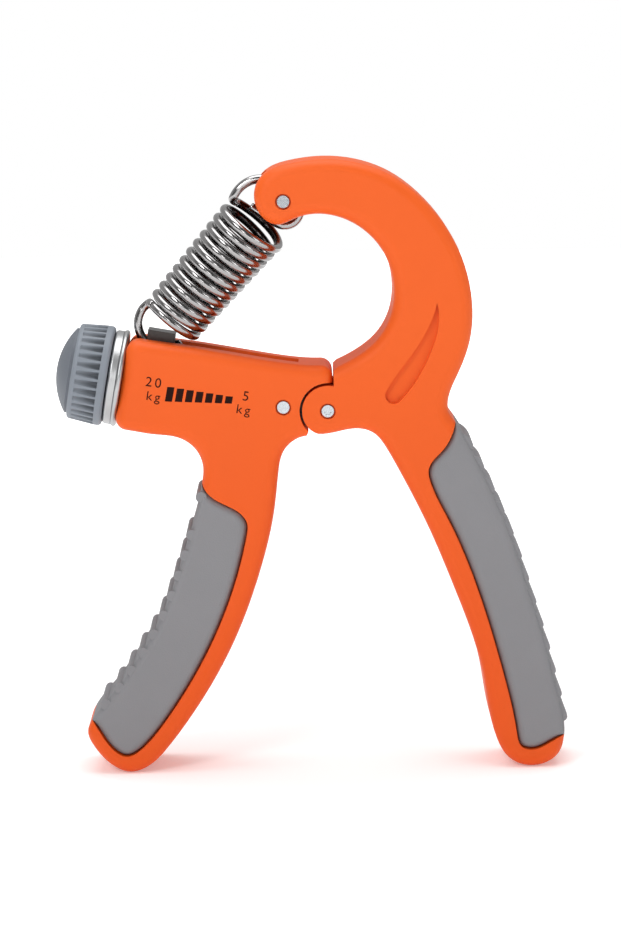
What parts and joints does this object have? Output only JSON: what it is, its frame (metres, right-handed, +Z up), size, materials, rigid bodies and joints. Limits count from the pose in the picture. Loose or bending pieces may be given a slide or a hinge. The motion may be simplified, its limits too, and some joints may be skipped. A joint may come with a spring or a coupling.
{
  "type": "hand grip strengthener",
  "caption": "Spring hand gripper: two hinged arms with ribbed grips, a coil spring between a hooked arm and a screw-driven slider, and a knob that sets the strength.",
  "frame": {"origin": "on the floor under the middle of the whole, which stands on its two handle ends", "axes": "+X from the knob towards the hooked arm's back, +Y from the front to the back, +Z up to the hook"},
  "size_m": [0.1258, 0.0248, 0.152],
  "materials": {
    "left_front_shell": "satin moulded",
    "left_back_shell": "satin moulded",
    "right_front_shell": "satin moulded",
    "right_back_shell": "satin moulded",
    "left_grip_pad": "soft matte",
    "right_grip_pad": "soft matte",
    "left_shell_screws": "zinc plated",
    "right_shell_screws": "zinc plated",
    "hinge_plates": "pressed steel",
    "hinge_spacers": "turned steel",
    "pivot_washers": "pressed steel",
    "pivot_pin": "zinc plated",
    "hinge_rivet": "zinc plated",
    "spring_anchor_pin": "zinc plated",
    "collar": "nickel plated",
    "knob_body": "moulded, ribbed",
    "knob_cap": "moulded, domed",
    "knob_nut": "zinc plated",
    "adjusting_screw": "rolled thread",
    "screw_circlip": "spring steel",
    "thrust_washer": "turned",
    "screw_bush": "turned",
    "traveller_nut": "machined",
    "hook_saddle": "dark plated",
    "spring_hook": "bright drawn wire",
    "spring_coil": "bright drawn wire",
    "spring_loop": "bright drawn wire"
  },
  "bodies": {
    "left_arm": {"left_front_shell": "left_front_shell", "left_back_shell": "left_back_shell", "left_grip_pad": "left_grip_pad", "left_shell_screws": "left_shell_screws", "hinge_plates": "hinge_plates", "hinge_spacers": "hinge_spacers", "hinge_rivet": "hinge_rivet", "pivot_pin": "pivot_pin", "pivot_washers": "pivot_washers", "collar": "collar", "thrust_washer": "thrust_washer", "screw_bush": "screw_bush"},
    "right_arm": {"right_front_shell": "right_front_shell", "right_back_shell": "right_back_shell", "right_grip_pad": "right_grip_pad", "right_shell_screws": "right_shell_screws", "spring_anchor_pin": "spring_anchor_pin"},
    "knob": {"knob_body": "knob_body", "knob_cap": "knob_cap", "knob_nut": "knob_nut", "adjusting_screw": "adjusting_screw", "screw_circlip": "screw_circlip"},
    "slider": {"traveller_nut": "traveller_nut", "hook_saddle": "hook_saddle"},
    "spring_lower": {"spring_hook": "spring_hook"},
    "spring_middle": {"spring_coil": "spring_coil"},
    "spring_upper": {"spring_loop": "spring_loop"}
  },
  "joints": [
    {"name": "squeeze", "type": "hinge", "parent": "left_arm", "child": "right_arm", "pos_m": [0.00434, 0, 0.09042], "axis": [0, 1, 0], "range_deg": [0, 25], "stiffness_Nm_per_rad": 15, "springref_deg": -14.32},
    {"name": "knob_turn", "type": "hinge", "parent": "left_arm", "child": "knob", "pos_m": [-0.00656, 0, 0.09082], "axis": [0.9839, 0, -0.1788], "range_deg": [-3240, 0]},
    {"name": "slider_travel", "type": "slide", "parent": "left_arm", "child": "slider", "axis": [0.9839, 0, -0.1788], "range_m": [0, 0.01801]},
    {"name": "hook_swing", "type": "hinge", "parent": "slider", "child": "spring_lower", "pos_m": [-0.02959, 0, 0.10753], "axis": [0, 1, 0], "range_deg": [-25, 0], "deforming": ["spring_hook"]},
    {"name": "coil_swing", "type": "hinge", "parent": "spring_lower", "child": "spring_middle", "pos_m": [-0.03595, 0, 0.1116], "axis": [0, 1, 0], "range_deg": [0, 16], "deforming": ["spring_coil"]},
    {"name": "spring_stretch", "type": "slide", "parent": "spring_middle", "child": "spring_upper", "axis": [0.7055, 0, 0.7087], "range_m": [0, 0.018], "deforming": ["spring_loop"]}
  ],
  "couplings": [
    {"joint": "slider_travel", "follows": "knob_turn", "m_per_rad": -0.00031831},
    {"joint": "hook_swing", "follows": "knob_turn", "ratio": 0.0075522},
    {"joint": "coil_swing", "follows": "squeeze", "ratio": 0.63054},
    {"joint": "spring_stretch", "follows": "squeeze", "m_per_rad": 0.041048}
  ]
}
